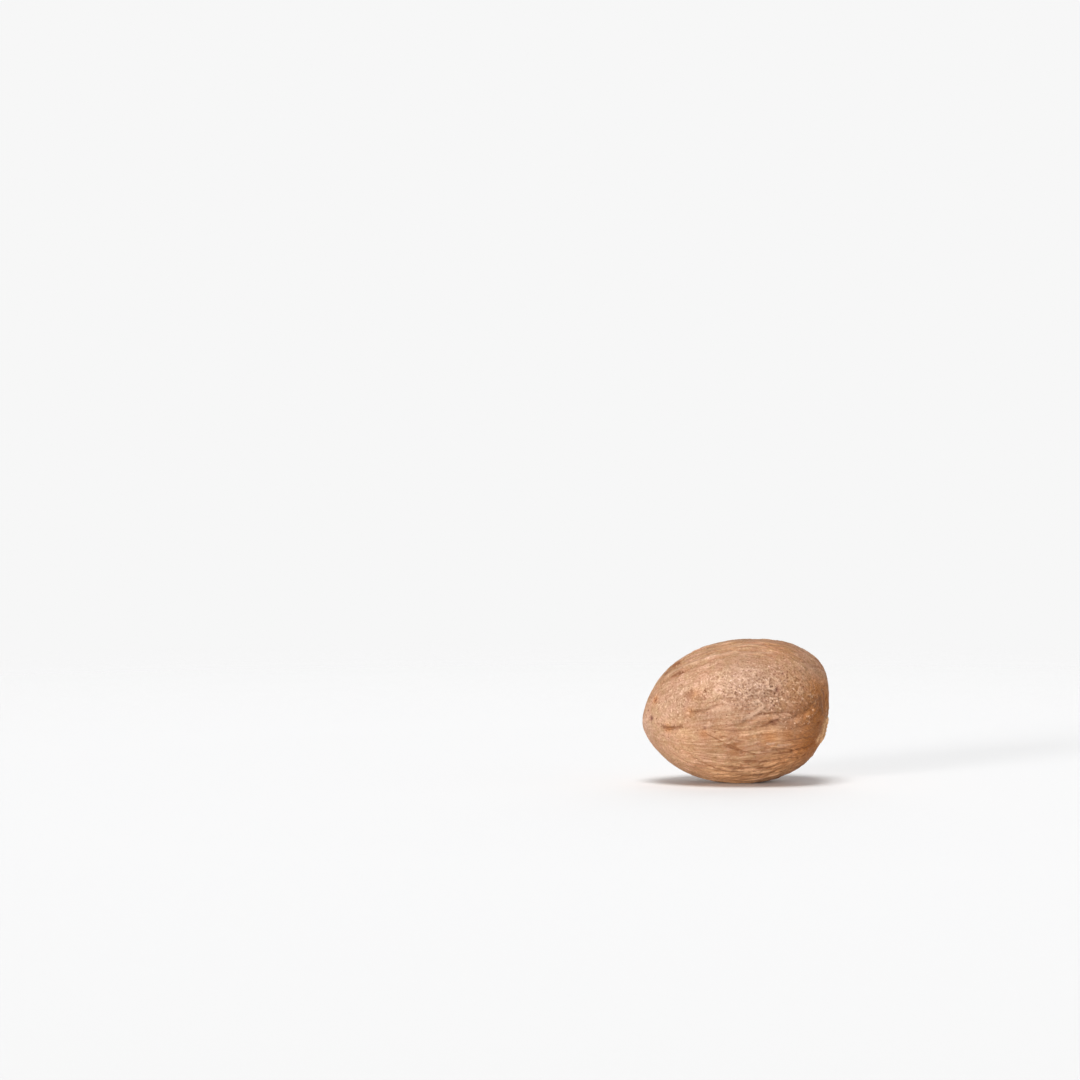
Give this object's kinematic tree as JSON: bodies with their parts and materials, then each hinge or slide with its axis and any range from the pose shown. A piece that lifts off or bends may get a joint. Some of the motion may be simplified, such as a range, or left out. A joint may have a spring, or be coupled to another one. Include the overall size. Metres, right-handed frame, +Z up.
{
  "type": "whole nutmeg",
  "caption": "Whole dried nutmeg kernel, egg-shaped and finely furrowed, lying on its side to be grated or used whole as a spice.",
  "frame": {"origin": "on the surface that the nutmeg rests on, under the middle of its box", "axes": "+X towards the broad end with the hilum, which is raised by about 10 degrees; +Z up; -Y is the side with the long fold"},
  "size_m": [0.0298, 0.0234, 0.023],
  "materials": {
    "kernel": "dry matt seed, furrowed, with a faint waxy sheen"
  },
  "bodies": {
    "root": {"nutmeg": "kernel"}
  },
  "joints": []
}
